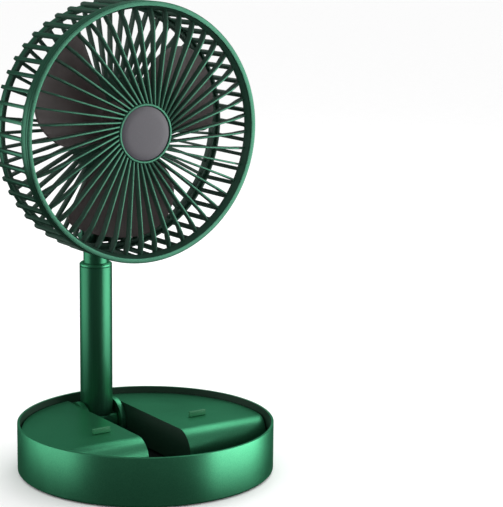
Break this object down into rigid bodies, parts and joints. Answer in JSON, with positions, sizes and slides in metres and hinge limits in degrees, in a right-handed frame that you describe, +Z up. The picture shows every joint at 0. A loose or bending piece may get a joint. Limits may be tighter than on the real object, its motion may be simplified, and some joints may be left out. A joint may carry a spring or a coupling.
{
  "type": "folding desk fan",
  "caption": "Cordless folding desk fan with a round slotted cage, swirled front grille, telescopic pole and a round tub base that the pole and head fold into.",
  "frame": {"origin": "on the floor under the middle of the round base", "axes": "+Z up, -Y the way the fan blows, the pole stands at +Y, +X to the right seen from in front"},
  "size_m": [0.19, 0.19, 0.3454],
  "materials": {
    "green_shell": "satin metallic lacquer",
    "green_tube": "satin metallic lacquer",
    "dark_green_pad": "matt",
    "black_plastic": "matt",
    "rubber_foot": "matt",
    "blade_grey": "satin",
    "cap_grey": "satin",
    "steel": "zinc plated",
    "copper_iron": "laminations with copper wire",
    "magnet": "sintered",
    "cell_sleeve": "shrink sleeve on a metal can",
    "glide_plastic": "natural acetal",
    "circuit_board": "solder resist",
    "lens": "frosted"
  },
  "bodies": {
    "base": {"base_shell": "green_shell", "bottom_cover": "black_plastic", "foot_pads": "rubber_foot", "bottom_screws": "steel", "hinge_ear_screws": "steel", "trough_floor": "black_plastic", "left_deck": "green_shell", "right_deck": "green_shell", "left_rest_pad": "dark_green_pad", "right_rest_pad": "dark_green_pad", "battery_cells": "cell_sleeve", "battery_holders": "black_plastic", "control_board": "circuit_board", "usb_socket": "steel", "indicator_lenses": "lens", "tact_switch": "black_plastic", "switch_bracket": "black_plastic", "left_hinge_ear": "green_shell", "right_hinge_ear": "green_shell", "base_hinge_pin": "steel", "base_hinge_nut": "steel", "base_friction_washers": "steel"},
    "button": {"power_button": "green_shell"},
    "outer_stage": {"pole_knuckle": "green_shell", "outer_tube": "green_tube", "outer_collar": "green_shell"},
    "second_stage": {"second_tube": "green_tube", "second_glide": "glide_plastic", "second_collar": "green_shell"},
    "third_stage": {"third_tube": "green_tube", "third_glide": "glide_plastic", "third_collar": "green_shell"},
    "top_stage": {"top_tube": "green_tube", "top_glide": "glide_plastic", "top_knuckle": "green_shell"},
    "head": {"head_bracket": "green_shell", "bracket_screws": "steel", "front_grille": "green_shell", "front_cap": "cap_grey", "side_cage": "green_shell", "rear_grille": "green_shell", "rear_cap": "green_shell", "motor_housing": "black_plastic", "motor_screws": "steel", "motor_stator": "copper_iron", "motor_bearings": "steel", "head_hinge_pin": "steel", "head_hinge_nut": "steel", "head_friction_washers": "steel"},
    "rotor": {"rotor": "blade_grey", "rotor_magnets": "magnet", "rotor_nut": "black_plastic", "motor_shaft": "steel"}
  },
  "joints": [
    {"name": "pole_fold", "type": "hinge", "parent": "base", "child": "outer_stage", "pos_m": [0, 0.076, 0.017], "axis": [-1, 0, 0], "range_deg": [-90, 0]},
    {"name": "second_stage_slide", "type": "slide", "parent": "outer_stage", "child": "second_stage", "axis": [0, 0, 1], "range_m": [0, 0.085]},
    {"name": "third_stage_slide", "type": "slide", "parent": "second_stage", "child": "third_stage", "axis": [0, 0, 1], "range_m": [0, 0.085]},
    {"name": "top_stage_slide", "type": "slide", "parent": "third_stage", "child": "top_stage", "axis": [0, 0, 1], "range_m": [0, 0.085]},
    {"name": "head_fold", "type": "hinge", "parent": "top_stage", "child": "head", "pos_m": [0, 0.076, 0.1717], "axis": [-1, 0, 0], "range_deg": [0, 180]},
    {"name": "rotor_spin", "type": "hinge", "parent": "head", "child": "rotor", "pos_m": [0, 0.03, 0.2504], "axis": [0, -1, 0], "continuous": true},
    {"name": "button_press", "type": "slide", "parent": "base", "child": "button", "axis": [-0.9063, -0.4226, 0], "range_m": [0, 0.001], "stiffness_N_per_m": 800, "springref_m": -0.001}
  ],
  "couplings": [
    {"joint": "head_fold", "follows": "pole_fold", "ratio": -2}
  ]
}
